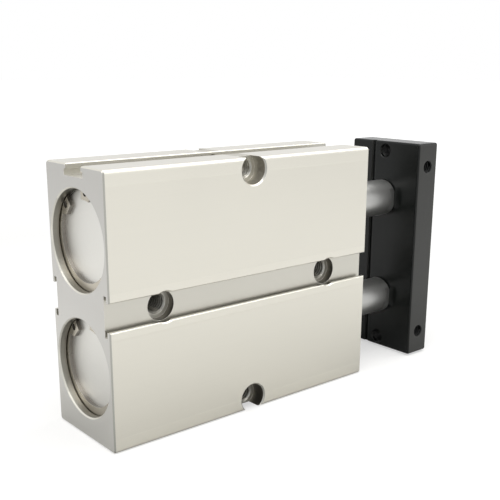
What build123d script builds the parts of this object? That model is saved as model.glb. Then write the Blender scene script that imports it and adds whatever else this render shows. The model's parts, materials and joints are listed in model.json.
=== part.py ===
from build123d import *
import math
import os

# Twin rod pneumatic cylinder, in millimetres. It stands on a narrow side of its body, as in the
# photograph. +X points out along the rods, +Y to the back wide face, +Z up. The origin is below
# the middle of the whole object, on the surface that it stands on.

# Driving dimensions: bores, rods and travel
bore_diameter = 32.0
rod_diameter = 16.0
stroke = 50.0
rest_extension = 20.0
retracted_gap = 12.7

# Driving dimensions: body section
middle_wall = 10.0
narrow_side_wall = 8.0
wide_side_wall = 1.75
body_edge_radius = 1.5
end_chamfer = 0.5
lip_break = 0.3
wide_slot_opening = 10.2
wide_slot_depth = 3.2
wide_slot_undercut = 2.2
wide_slot_cavity = 1.6
narrow_slot_opening = 10.6
narrow_slot_depth = 4.0
narrow_slot_undercut = 1.1
narrow_slot_cavity = 2.2

# Driving dimensions: recess and snap ring at each end of a bore
recess_step = 2.0
recess_chamfer = 0.5
cover_setback = 4.6
snap_ring_thickness = 1.5
snap_ring_wide = 3.8
snap_ring_narrow = 2.0
snap_ring_ear = 4.9
snap_ring_hole = 2.5
snap_ring_hole_inset = 2.3
snap_ring_gap_half_angle = 18.0
snap_ring_ear_angle = 27.0
snap_ring_ear_tip_angle = 19.0
snap_ring_turns = {"lower": 16.0, "upper": 22.0}
groove_depth = 0.9
groove_slack = 0.1
groove_play = 0.35

# Driving dimensions: covers and guides
flange_length = 8.0
rear_cover_length = 13.4
rod_guide_length = 23.9
relief_length = 6.0
spigot_relief = 2.0
o_ring_section = 1.8
o_ring_groove_slack = 0.8
cover_edge_break = 0.4
bush_wall = 1.0
guide_web = 3.5
seal_pocket_depth = 6.5
rod_seal_length = 6.0
rod_seal_wall = 4.0
bumper_thickness = 2.5
bumper_recess_depth = 1.0
bumper_ledge = 4.0
rear_bumper_wall = 4.5

# Driving dimensions: piston
piston_rear_length = 11.0
piston_magnet_length = 5.0
piston_front_length = 8.0
wear_ring_wall = 2.0
magnet_wall = 3.0
piston_hub_recess = 3.0
piston_seal_width = 3.0
piston_seal_depth = 2.9
spigot_shoulder = 2.0
spigot_o_ring_section = 1.5
piston_screw_head_height = 5.0
piston_screw_pocket_depth = 5.5

# Driving dimensions: rod ends and end plate
rod_end_chamfer = 0.8
rod_flat_cut = 1.5
rod_flat_length = 3.6
plate_thickness = 12.6
plate_end_step = 0.7
plate_side_step = 0.25
plate_edge_radius = 1.0
plate_rim_radius = 0.9
plate_groove_y = 6.6
plate_groove_width = 2.4
plate_groove_depth = 1.2
plate_face_hole_inset = 4.3
plate_face_hole_diameter = 6.0
plate_side_hole_inset = 10.35
plate_side_hole_diameter = 5.0
plate_side_hole_depth = 12.0
plate_hole_break = 0.3

# Driving dimensions: screws that hold the rods
screw_diameter = 8.0
screw_head_diameter = 13.0
screw_head_height = 8.0
screw_socket_across = 6.0
screw_socket_depth = 4.0
piston_screw_socket_across = 5.0
piston_screw_socket_depth = 3.0
screw_grip = 16.0
thread_runout = 2.0
screw_pocket_diameter = 14.0
screw_pocket_depth = 8.6
screw_edge_break = 0.5

# Driving dimensions: mounting holes and ports in the body
mount_hole_diameter = 6.8
mount_pocket_diameter = 11.0
mount_pocket_depth = 6.5
mount_pocket_chamfer = 0.55
mount_hole_countersink = 0.6
mount_hole_rear_setback = 22.5
mount_hole_front_setback = 21.4
edge_hole_inset = 4.5
port_core_diameter = 8.6
port_depth = 7.5
port_offset = 2.3
passage_diameter = 3.0
passage_inset = 1.2

# Clearances
running_clearance = 0.04
seal_clearance = 0.05
fit_clearance = 0.05
screw_clearance = 0.2
thread_clearance = 0.05
rod_hole_clearance = 0.2
piston_clearance = 0.3
piston_end_gap = 0.2
bumper_clearance = 0.5

# Sizes that follow from the bore and the rod
recess_diameter = bore_diameter + 2 * recess_step
rod_pitch = recess_diameter + middle_wall
body_height = rod_pitch + recess_diameter + 2 * narrow_side_wall
body_thickness = recess_diameter + 2 * wide_side_wall
edge_hole_pitch = body_height - 2 * edge_hole_inset
plate_height = body_height - 2 * plate_end_step
plate_width = body_thickness - 2 * plate_side_step
plate_face_hole_pitch = plate_height - 2 * plate_face_hole_inset
plate_side_hole_pitch = plate_height - 2 * plate_side_hole_inset
bumper_outer_diameter = bore_diameter - 2 * bumper_ledge
rear_bumper_inner_diameter = bumper_outer_diameter - 2 * rear_bumper_wall
magnet_diameter = bore_diameter - 2 * wear_ring_wall
piston_hub_diameter = magnet_diameter - 2 * magnet_wall
spigot_diameter = rod_diameter - 2 * spigot_shoulder
rod_flat_across = rod_diameter - 2 * rod_flat_cut

# Lengths and stations along X
bumper_projection = bumper_thickness - bumper_recess_depth
piston_length = piston_rear_length + piston_magnet_length + piston_front_length
chamber_length = piston_length + stroke + 2 * (bumper_projection + piston_end_gap)
body_length = 2 * cover_setback + rear_cover_length + chamber_length + rod_guide_length
plate_gap = retracted_gap + rest_extension
total_length = body_length + plate_gap + plate_thickness
rear_x = -total_length / 2
front_x = rear_x + body_length
plate_x = front_x + plate_gap
plate_outer_x = plate_x + plate_thickness
rear_cover_x = rear_x + cover_setback
rear_chamber_x = rear_cover_x + rear_cover_length
front_guide_x = front_x - cover_setback
front_chamber_x = front_guide_x - rod_guide_length
bush_start_x = front_chamber_x + bumper_recess_depth
bush_length = rod_guide_length - bumper_recess_depth - seal_pocket_depth - guide_web
piston_rear_x = rear_chamber_x + bumper_projection + piston_end_gap + rest_extension
magnet_x = piston_rear_x + piston_rear_length
piston_front_x = magnet_x + piston_magnet_length
piston_face_x = piston_front_x + piston_front_length

# Radii and heights
bore_radius = bore_diameter / 2
rod_radius = rod_diameter / 2
recess_radius = recess_diameter / 2
groove_radius = recess_radius + groove_depth
cover_radius = recess_radius - fit_clearance
guide_radius = bore_radius - fit_clearance
relief_radius = bore_radius - spigot_relief
piston_radius = bore_radius - piston_clearance
mid_z = body_height / 2
axis_heights = {"lower": mid_z - rod_pitch / 2, "upper": mid_z + rod_pitch / 2}
half_thickness = body_thickness / 2

os.makedirs("parts", exist_ok=True)


def save(piece, name):
    """Name one finished piece and write its file."""
    piece.part.label = name
    export_step(piece.part, f"parts/{name}.step")


def bore_plane(axis_z):
    """Plane of a half section through a bore: across is X, up is the distance from the axis."""
    return Plane(origin=(0, 0, axis_z), x_dir=(1, 0, 0), z_dir=(0, -1, 0))


def turn(axis_z, outline, mode=Mode.ADD):
    """Turn an outline of (x, radius) corners about the axis of a bore."""
    with BuildSketch(bore_plane(axis_z)) as section:
        with BuildLine():
            Polyline(*outline, close=True)
        make_face()
    revolve(section.sketch, axis=Axis((0, 0, axis_z), (1, 0, 0)), mode=mode)


def turn_ring(axis_z, x, radius, section_radius):
    """Turn a round section about the axis of a bore, as an O-ring."""
    with BuildSketch(bore_plane(axis_z)) as section:
        with Locations((x, radius)):
            Circle(section_radius)
    revolve(section.sketch, axis=Axis((0, 0, axis_z), (1, 0, 0)))


def drill_across(x, z, side):
    """Counterbored hole from one wide face to the middle of the body."""
    pocket_floor = half_thickness - mount_pocket_depth
    with BuildSketch(Plane(origin=(x, 0, z), x_dir=(0, side, 0), z_dir=(1, 0, 0))) as section:
        with BuildLine():
            Polyline(
                (0, 0),
                (0, mount_hole_diameter / 2),
                (pocket_floor - mount_hole_countersink, mount_hole_diameter / 2),
                (pocket_floor, mount_hole_diameter / 2 + mount_hole_countersink),
                (pocket_floor, mount_pocket_diameter / 2),
                (half_thickness - mount_pocket_chamfer, mount_pocket_diameter / 2),
                (half_thickness, mount_pocket_diameter / 2 + mount_pocket_chamfer),
                (half_thickness, 0),
                close=True,
            )
        make_face()
    revolve(section.sketch, axis=Axis((x, 0, z), (0, side, 0)), mode=Mode.SUBTRACT)


def slot(mouth, inward, depth, opening, undercut, cavity):
    """Undercut slot in the body section: mouth is its middle, inward the way into the body."""
    along = (-inward[1], inward[0])
    half = opening / 2
    side = [
        (half + lip_break, 0),
        (half, lip_break),
        (half, depth - cavity),
        (half + undercut, depth - cavity),
        (half + undercut, depth),
    ]
    corners = side + [(-a, d) for a, d in reversed(side)]
    with BuildLine() as outline:
        Polyline(
            *[
                (mouth[0] + a * along[0] + d * inward[0], mouth[1] + a * along[1] + d * inward[1])
                for a, d in corners
            ],
            close=True,
        )
    make_face(outline.line.edges())


def bore_outline():
    """Outline of everything that is bored out about one axis, from rear end to rod end."""
    outline = [(rear_x, 0)]
    for end_x, inward in ((rear_x, 1), (front_x, -1)):
        ring_start = end_x + inward * (cover_setback - snap_ring_thickness - groove_play)
        ring_end = end_x + inward * (cover_setback + groove_slack)
        side = [
            (end_x, recess_radius + recess_chamfer),
            (end_x + inward * recess_chamfer, recess_radius),
            (ring_start, recess_radius),
            (ring_start, groove_radius),
            (ring_end, groove_radius),
            (ring_end, recess_radius),
            (end_x + inward * (cover_setback + flange_length), recess_radius),
            (end_x + inward * (cover_setback + flange_length), bore_radius),
        ]
        outline += side if inward > 0 else side[::-1]
    outline.append((front_x, 0))
    return outline


# Body: one extruded block with two bores, three slots and its holes
mount_hole_xs = (rear_x + mount_hole_rear_setback, front_x - mount_hole_front_setback)
edge_hole_x = sum(mount_hole_xs) / 2
passage_xs = (rear_chamber_x - passage_inset, front_chamber_x + passage_inset)
port_xs = (passage_xs[0] + port_offset, passage_xs[1] - port_offset)
wide_slot = (wide_slot_depth, wide_slot_opening, wide_slot_undercut, wide_slot_cavity)
narrow_slot = (narrow_slot_depth, narrow_slot_opening, narrow_slot_undercut, narrow_slot_cavity)

with BuildPart() as body:
    with BuildSketch(Plane.YZ.offset(rear_x)) as section:
        with Locations((0, mid_z)):
            RectangleRounded(body_thickness, body_height, body_edge_radius)
    extrude(amount=body_length)
    ends = body.faces().sort_by(Axis.X)
    chamfer(ends[0].edges() + ends[-1].edges(), length=end_chamfer)
    with BuildSketch(Plane.YZ.offset(rear_x)) as slots:
        for side in (-1, 1):
            slot((side * half_thickness, mid_z), (-side, 0), *wide_slot)
        slot((0, body_height), (0, -1), *narrow_slot)
    extrude(amount=body_length, mode=Mode.SUBTRACT)
    for axis_z in axis_heights.values():
        turn(axis_z, bore_outline(), Mode.SUBTRACT)
    for side in (-1, 1):
        for x in mount_hole_xs:
            drill_across(x, mid_z, side)
        for z in (mid_z - edge_hole_pitch / 2, mid_z + edge_hole_pitch / 2):
            drill_across(edge_hole_x, z, side)
    with BuildSketch(Plane.XY) as ports:
        with Locations(*[(x, 0) for x in port_xs]):
            Circle(port_core_diameter / 2)
    extrude(amount=port_depth, mode=Mode.SUBTRACT)
    with BuildSketch(Plane.XY) as passages:
        with Locations(*[(x, 0) for x in passage_xs]):
            Circle(passage_diameter / 2)
    extrude(amount=axis_heights["upper"], mode=Mode.SUBTRACT)
save(body, "body")


def o_ring_groove(end_x, inward):
    """Corners of the O-ring groove in the rim of a flange, from its start at end_x."""
    width = o_ring_section + o_ring_groove_slack
    start = end_x + inward * (flange_length - width) / 2
    bottom = recess_radius - o_ring_section - 2 * seal_clearance
    stop = start + inward * width
    return [(start, cover_radius), (start, bottom), (stop, bottom), (stop, cover_radius)]


def o_ring(axis_z, end_x, inward):
    """O-ring that seals a flange in its recess."""
    with BuildPart() as ring:
        radius = recess_radius - seal_clearance - o_ring_section / 2
        turn_ring(axis_z, end_x + inward * flange_length / 2, radius, o_ring_section / 2)
    return ring


def rear_cover(axis_z):
    """Plug that closes the rear end of a bore, with a pocket for its bumper."""
    seat_x = rear_cover_x + flange_length
    pocket_radius = bumper_outer_diameter / 2 + fit_clearance
    with BuildPart() as cover:
        turn(
            axis_z,
            [
                (rear_cover_x, 0),
                (rear_cover_x, cover_radius - cover_edge_break),
                (rear_cover_x + cover_edge_break, cover_radius),
                *o_ring_groove(rear_cover_x, 1),
                (seat_x, cover_radius),
                (seat_x, relief_radius),
                (rear_chamber_x, relief_radius),
                (rear_chamber_x, pocket_radius),
                (rear_chamber_x - bumper_recess_depth, pocket_radius),
                (rear_chamber_x - bumper_recess_depth, 0),
            ],
        )
    return cover


def rod_guide(axis_z):
    """Guide that carries the bush and the seal of one rod and closes the rod end of its bore."""
    seat_x = front_guide_x - flange_length
    relief_x = front_chamber_x + relief_length
    seal_x = front_guide_x - seal_pocket_depth
    pocket_radius = bumper_outer_diameter / 2 + fit_clearance
    bush_pocket_radius = rod_radius + running_clearance + bush_wall + fit_clearance
    bush_seat_x = bush_start_x + bush_length
    with BuildPart() as guide:
        turn(
            axis_z,
            [
                (front_chamber_x, pocket_radius),
                (front_chamber_x, relief_radius),
                (relief_x, relief_radius),
                (relief_x, guide_radius),
                (seat_x, guide_radius),
                (seat_x, cover_radius),
                *o_ring_groove(front_guide_x, -1)[::-1],
                (front_guide_x - cover_edge_break, cover_radius),
                (front_guide_x, cover_radius - cover_edge_break),
                (front_guide_x, rod_radius + rod_seal_wall + fit_clearance),
                (seal_x, rod_radius + rod_seal_wall + fit_clearance),
                (seal_x, rod_radius + rod_hole_clearance),
                (bush_seat_x, rod_radius + rod_hole_clearance),
                (bush_seat_x, bush_pocket_radius),
                (bush_start_x, bush_pocket_radius),
                (bush_start_x, pocket_radius),
            ],
        )
    return guide


def guide_bush(axis_z):
    """Plain bearing bush that the rod runs in."""
    inner = rod_radius + running_clearance
    with BuildPart() as bush:
        turn(
            axis_z,
            [
                (bush_start_x, inner),
                (bush_start_x, inner + bush_wall),
                (bush_start_x + bush_length, inner + bush_wall),
                (bush_start_x + bush_length, inner),
            ],
        )
    return bush


def rod_seal(axis_z):
    """Rod seal with its wiper lip, seated at the bottom of the pocket in the rod guide."""
    start = front_guide_x - seal_pocket_depth
    stop = start + rod_seal_length
    inner = rod_radius + seal_clearance
    outer = rod_radius + rod_seal_wall
    middle = (inner + outer) / 2
    with BuildPart() as seal:
        turn(
            axis_z,
            [
                (start, inner),
                (start, outer),
                (stop, outer),
                (stop, middle),
                (stop - rod_seal_length / 3, middle),
                (stop, inner + fit_clearance),
                (stop, inner),
            ],
        )
    return seal


def bumper(axis_z, seat_x, outward, inner_radius):
    """Rubber stop ring in the pocket of a cover or a guide."""
    outer = bumper_outer_diameter / 2
    face_x = seat_x + outward * bumper_thickness
    with BuildPart() as ring:
        turn(
            axis_z,
            [(seat_x, inner_radius), (seat_x, outer), (face_x, outer), (face_x, inner_radius)],
        )
    return ring


def snap_ring(axis_z, start_x, turned):
    """Internal snap ring with two eared ends, each with a plier hole."""
    outer = groove_radius - fit_clearance
    inner = outer - (snap_ring_wide + snap_ring_narrow) / 2
    shift = (snap_ring_wide - snap_ring_narrow) / 2
    upward = 90 - turned
    ear_inner = outer - snap_ring_ear
    toward_gap = (math.cos(math.radians(upward)), math.sin(math.radians(upward)))
    with BuildPart() as ring:
        with BuildSketch(Plane.YZ.offset(start_x)) as outline:
            with Locations((0, axis_z)):
                Circle(outer)
                with Locations((shift * toward_gap[0], shift * toward_gap[1])):
                    Circle(inner, mode=Mode.SUBTRACT)
            with BuildLine():
                reach = 2 * outer
                left = upward + snap_ring_gap_half_angle
                right = upward - snap_ring_gap_half_angle
                Polyline(
                    (0, axis_z),
                    (reach * math.cos(math.radians(left)), axis_z + reach * math.sin(math.radians(left))),
                    (reach * math.cos(math.radians(right)), axis_z + reach * math.sin(math.radians(right))),
                    close=True,
                )
            make_face(mode=Mode.SUBTRACT)
            for side in (-1, 1):
                begin = upward + side * snap_ring_gap_half_angle
                with BuildLine():
                    rim = CenterArc((0, axis_z), outer, begin, side * snap_ring_ear_angle)
                    ear = CenterArc((0, axis_z), ear_inner, begin, side * snap_ring_ear_tip_angle)
                    Line(rim @ 0, ear @ 0)
                    Line(rim @ 1, ear @ 1)
                make_face()
                hole_angle = math.radians(begin + side * snap_ring_ear_tip_angle / 2)
                hole_radius = outer - snap_ring_hole_inset
                across = hole_radius * math.cos(hole_angle)
                with Locations((across, axis_z + hole_radius * math.sin(hole_angle))):
                    Circle(snap_ring_hole / 2, mode=Mode.SUBTRACT)
        extrude(amount=snap_ring_thickness)
    return ring


def seal_groove(start, stop, radius, bottom):
    """Corners of a square groove of a turned piece, between two stations."""
    return [(start, radius), (start, bottom), (stop, bottom), (stop, radius)]


def piston_rear(axis_z):
    """Rear half of the piston, with a seal groove and the pocket of the screw head."""
    middle = piston_rear_x + piston_rear_length / 2
    half_groove = piston_seal_width / 2 + fit_clearance
    pocket_x = piston_rear_x + piston_screw_pocket_depth
    hub_pocket_x = magnet_x - piston_hub_recess
    hub_pocket_radius = piston_hub_diameter / 2 + fit_clearance
    with BuildPart() as piston:
        turn(
            axis_z,
            [
                (piston_rear_x, screw_pocket_diameter / 2),
                (piston_rear_x, piston_radius),
                *seal_groove(
                    middle - half_groove,
                    middle + half_groove,
                    piston_radius,
                    bore_radius - piston_seal_depth - fit_clearance,
                ),
                (magnet_x, piston_radius),
                (magnet_x, hub_pocket_radius),
                (hub_pocket_x, hub_pocket_radius),
                (hub_pocket_x, screw_diameter / 2 + screw_clearance),
                (pocket_x, screw_diameter / 2 + screw_clearance),
                (pocket_x, screw_pocket_diameter / 2),
            ],
        )
    return piston


def piston_front(axis_z):
    """Front half of the piston, with a seal groove and the hub that carries the magnet."""
    middle = piston_front_x + piston_front_length / 2
    half_groove = piston_seal_width / 2 + fit_clearance
    hub_end_x = magnet_x - piston_hub_recess + fit_clearance
    inner = spigot_diameter / 2 + fit_clearance
    with BuildPart() as piston:
        turn(
            axis_z,
            [
                (hub_end_x, inner),
                (hub_end_x, piston_hub_diameter / 2),
                (piston_front_x, piston_hub_diameter / 2),
                (piston_front_x, piston_radius),
                *seal_groove(
                    middle - half_groove,
                    middle + half_groove,
                    piston_radius,
                    bore_radius - piston_seal_depth - fit_clearance,
                ),
                (piston_face_x, piston_radius),
                (piston_face_x, inner),
            ],
        )
    return piston


def piston_seal(axis_z, middle):
    """Piston seal with a sealing lip to each side."""
    outer = bore_radius - seal_clearance
    inner = bore_radius - piston_seal_depth
    start = middle - piston_seal_width / 2
    stop = middle + piston_seal_width / 2
    waist = (outer + inner) / 2
    with BuildPart() as seal:
        turn(
            axis_z,
            [
                (start, inner),
                (start, outer),
                (middle - piston_seal_width / 4, outer),
                (middle, waist),
                (middle + piston_seal_width / 4, outer),
                (stop, outer),
                (stop, inner),
            ],
        )
    return seal


def piston_ring(axis_z, inner, outer):
    """Plain ring that fills the space between the two piston halves."""
    with BuildPart() as ring:
        turn(
            axis_z,
            [(magnet_x, inner), (magnet_x, outer), (piston_front_x, outer), (piston_front_x, inner)],
        )
    return ring


def piston_rod(axis_z):
    """Rod with a spigot for the piston, a threaded hole in each end and spanner flats."""
    spigot_x = magnet_x - piston_hub_recess + 2 * fit_clearance
    spigot_radius = spigot_diameter / 2
    thread_radius = screw_diameter / 2 + thread_clearance
    thread_depth = screw_grip + thread_runout
    groove_x = piston_front_x + piston_front_length / 2
    groove_half = spigot_o_ring_section / 2 + fit_clearance
    groove_bottom = spigot_radius - spigot_o_ring_section + fit_clearance
    with BuildPart() as rod:
        turn(
            axis_z,
            [
                (spigot_x, 0),
                (spigot_x, spigot_radius),
                *seal_groove(groove_x - groove_half, groove_x + groove_half, spigot_radius, groove_bottom),
                (piston_face_x, spigot_radius),
                (piston_face_x, rod_radius),
                (plate_x - rod_end_chamfer, rod_radius),
                (plate_x, rod_radius - rod_end_chamfer),
                (plate_x, 0),
            ],
        )
        for end_x, inward in ((spigot_x, 1), (plate_x, -1)):
            stop = end_x + inward * thread_depth
            turn(
                axis_z,
                [(end_x, 0), (end_x, thread_radius), (stop, thread_radius), (stop, 0)],
                Mode.SUBTRACT,
            )
        with BuildSketch(Plane.YZ.offset(plate_x)) as flats:
            for side in (-1, 1):
                with Locations((side * (rod_flat_across / 2 + rod_radius), axis_z)):
                    Rectangle(2 * rod_radius, rod_diameter)
        extrude(amount=-rod_flat_length, mode=Mode.SUBTRACT)
    return rod


def spigot_o_ring(axis_z):
    """O-ring that seals the rod in the front half of the piston."""
    radius = spigot_diameter / 2 - spigot_o_ring_section / 2 + fit_clearance
    with BuildPart() as ring:
        middle = piston_front_x + piston_front_length / 2
        turn_ring(axis_z, middle, radius, spigot_o_ring_section / 2 - fit_clearance / 2)
    return ring


def socket_screw(axis_z, seat_x, inward, head_height, grip, socket_across, socket_depth):
    """Socket head screw, its head resting at seat_x and its shank reaching inward from there."""
    top_x = seat_x - inward * head_height
    tip_x = seat_x + inward * grip
    head_radius = screw_head_diameter / 2
    with BuildPart() as screw:
        turn(
            axis_z,
            [
                (top_x, 0),
                (top_x, head_radius - screw_edge_break),
                (top_x + inward * screw_edge_break, head_radius),
                (seat_x, head_radius),
                (seat_x, screw_diameter / 2),
                (tip_x - inward * screw_edge_break, screw_diameter / 2),
                (tip_x, screw_diameter / 2 - screw_edge_break),
                (tip_x, 0),
            ],
        )
        with BuildSketch(Plane.YZ.offset(top_x)) as socket:
            with Locations((0, axis_z)):
                RegularPolygon(socket_across / 2, 6, major_radius=False)
        extrude(amount=inward * socket_depth, mode=Mode.SUBTRACT)
    return screw


# One full set of inner pieces for each of the two bores
piston_seal_xs = {
    "front": piston_front_x + piston_front_length / 2,
    "rear": piston_rear_x + piston_rear_length / 2,
}
for level, axis_z in axis_heights.items():
    save(rear_cover(axis_z), f"{level}_rear_cover")
    save(o_ring(axis_z, rear_cover_x, 1), f"{level}_rear_cover_o_ring")
    save(
        snap_ring(axis_z, rear_cover_x - snap_ring_thickness, snap_ring_turns[level]),
        f"{level}_rear_snap_ring",
    )
    save(
        bumper(axis_z, rear_chamber_x - bumper_recess_depth, 1, rear_bumper_inner_diameter / 2),
        f"{level}_rear_bumper",
    )
    save(rod_guide(axis_z), f"{level}_rod_guide")
    save(o_ring(axis_z, front_guide_x, -1), f"{level}_rod_guide_o_ring")
    save(snap_ring(axis_z, front_guide_x, snap_ring_turns[level]), f"{level}_front_snap_ring")
    save(
        bumper(axis_z, bush_start_x, -1, rod_radius + bumper_clearance),
        f"{level}_front_bumper",
    )
    save(guide_bush(axis_z), f"{level}_guide_bush")
    save(rod_seal(axis_z), f"{level}_rod_seal")
    save(piston_rod(axis_z), f"{level}_piston_rod")
    save(spigot_o_ring(axis_z), f"{level}_spigot_o_ring")
    save(piston_front(axis_z), f"{level}_piston_front")
    save(piston_rear(axis_z), f"{level}_piston_rear")
    for place, middle in piston_seal_xs.items():
        save(piston_seal(axis_z, middle), f"{level}_{place}_piston_seal")
    magnet_radius = magnet_diameter / 2
    save(
        piston_ring(axis_z, piston_hub_diameter / 2 + fit_clearance, magnet_radius),
        f"{level}_piston_magnet",
    )
    save(
        piston_ring(axis_z, magnet_radius + fit_clearance, bore_radius - seal_clearance),
        f"{level}_piston_wear_ring",
    )
    save(
        socket_screw(
            axis_z,
            piston_rear_x + piston_screw_pocket_depth,
            1,
            piston_screw_head_height,
            screw_grip,
            piston_screw_socket_across,
            piston_screw_socket_depth,
        ),
        f"{level}_piston_screw",
    )

# End plate that ties the two rods together
with BuildPart() as end_plate:
    with BuildSketch(Plane.YZ.offset(plate_x)) as outline:
        with Locations((0, mid_z)):
            RectangleRounded(plate_width, plate_height, plate_edge_radius)
    extrude(amount=plate_thickness)
    fillet(end_plate.faces().sort_by(Axis.X)[0].edges(), plate_rim_radius)
    fillet(end_plate.faces().sort_by(Axis.X)[-1].edges(), plate_rim_radius)
    with BuildSketch(Plane.YZ.offset(plate_x)) as groove:
        with Locations((plate_groove_y, mid_z)):
            Rectangle(plate_groove_width, plate_height)
    extrude(amount=plate_groove_depth, mode=Mode.SUBTRACT)
    with BuildSketch(Plane.YZ.offset(plate_x)) as through_holes:
        with Locations(*[(0, z) for z in axis_heights.values()]):
            Circle(screw_diameter / 2 + screw_clearance)
        with Locations((0, mid_z - plate_face_hole_pitch / 2), (0, mid_z + plate_face_hole_pitch / 2)):
            Circle(plate_face_hole_diameter / 2)
    extrude(amount=plate_thickness, mode=Mode.SUBTRACT)
    with BuildSketch(Plane.YZ.offset(plate_outer_x)) as pockets:
        with Locations(*[(0, z) for z in axis_heights.values()]):
            Circle(screw_pocket_diameter / 2)
    extrude(amount=-screw_pocket_depth, mode=Mode.SUBTRACT)
    for side in (-1, 1):
        with BuildSketch(Plane.XZ.offset(-side * plate_width / 2)) as side_holes:
            with Locations(
                *[
                    (plate_x + plate_thickness / 2, mid_z + level * plate_side_hole_pitch / 2)
                    for level in (-1, 1)
                ]
            ):
                Circle(plate_side_hole_diameter / 2)
        extrude(amount=side * plate_side_hole_depth, mode=Mode.SUBTRACT)
    face_rims = [
        edge
        for edge in end_plate.edges().filter_by(GeomType.CIRCLE)
        if math.isclose(edge.radius, plate_face_hole_diameter / 2)
    ]
    side_rims = [
        edge
        for edge in end_plate.edges().filter_by(GeomType.CIRCLE)
        if math.isclose(abs(edge.arc_center.Y), plate_width / 2)
    ]
    chamfer(face_rims + side_rims, plate_hole_break)
save(end_plate, "end_plate")

for level, axis_z in axis_heights.items():
    save(
        socket_screw(
            axis_z,
            plate_outer_x - screw_pocket_depth,
            -1,
            screw_head_height,
            plate_thickness - screw_pocket_depth + screw_grip,
            screw_socket_across,
            screw_socket_depth,
        ),
        f"{level}_plate_screw",
    )
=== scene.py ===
"""Looks of a twin rod pneumatic cylinder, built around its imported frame.

Lengths in the classes are millimetres, as on a drawing, but for the studio's, which are metres.
Meshes are made in metres.
"""

import json
import logging
import math
from dataclasses import dataclass, field
from enum import Enum
from typing import Callable, Sequence, Union

import bpy
from mathutils import Matrix, Vector


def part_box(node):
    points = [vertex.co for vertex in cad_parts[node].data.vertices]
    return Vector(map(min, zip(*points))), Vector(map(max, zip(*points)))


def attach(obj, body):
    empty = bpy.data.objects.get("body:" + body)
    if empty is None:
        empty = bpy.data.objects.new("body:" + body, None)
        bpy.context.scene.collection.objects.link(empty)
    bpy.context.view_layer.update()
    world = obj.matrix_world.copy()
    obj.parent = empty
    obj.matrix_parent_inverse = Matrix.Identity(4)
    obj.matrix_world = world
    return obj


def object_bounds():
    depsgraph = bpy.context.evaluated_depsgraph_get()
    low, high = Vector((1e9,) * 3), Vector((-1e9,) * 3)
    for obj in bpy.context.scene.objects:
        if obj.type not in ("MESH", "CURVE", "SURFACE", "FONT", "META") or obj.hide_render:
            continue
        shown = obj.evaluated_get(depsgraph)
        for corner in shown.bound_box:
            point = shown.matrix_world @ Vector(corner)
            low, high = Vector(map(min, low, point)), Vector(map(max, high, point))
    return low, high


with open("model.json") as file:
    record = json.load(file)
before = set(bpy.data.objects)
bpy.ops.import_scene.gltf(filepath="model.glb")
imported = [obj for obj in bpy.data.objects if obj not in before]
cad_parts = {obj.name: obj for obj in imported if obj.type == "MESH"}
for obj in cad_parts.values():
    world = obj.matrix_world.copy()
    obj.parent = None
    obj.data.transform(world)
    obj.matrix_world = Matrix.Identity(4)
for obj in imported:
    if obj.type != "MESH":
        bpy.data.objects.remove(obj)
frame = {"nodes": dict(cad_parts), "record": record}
CAD_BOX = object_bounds()

MM = 0.001

# How far a normal leans along an axis, when it counts as leaning that way and as facing it squarely.
LEANS = 0.5
SQUARELY = (0.9, 0.95)
MID_TONE = 0.5

log = logging.getLogger("cylinder")

Triple = tuple[float, float, float]
Colour = Triple
Value = Union[float, Sequence[float], bpy.types.NodeSocket]


class Axis(Enum):
    """Direction in which a hole opens, as a unit vector of the frame."""

    FRONT = (0, -1, 0)
    BACK = (0, 1, 0)
    DOWN = (0, 0, -1)
    INWARD = (-1, 0, 0)
    OUTWARD = (1, 0, 0)

    def facing(self, place: Vector) -> Matrix:
        """Return the matrix that brings a piece to a place, its +Z turned this way."""
        turn = Vector(self.value).to_track_quat("Z", "Y").to_matrix().to_4x4()
        return Matrix.Translation(place) @ turn


class Grain(Enum):
    """Which way the fine marks of a finish run."""

    ALONG_X = (9.0, 900.0, 900.0)
    UPRIGHT = (700.0, 700.0, 14.0)


# ---------------------------------------------------------------- node trees


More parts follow.
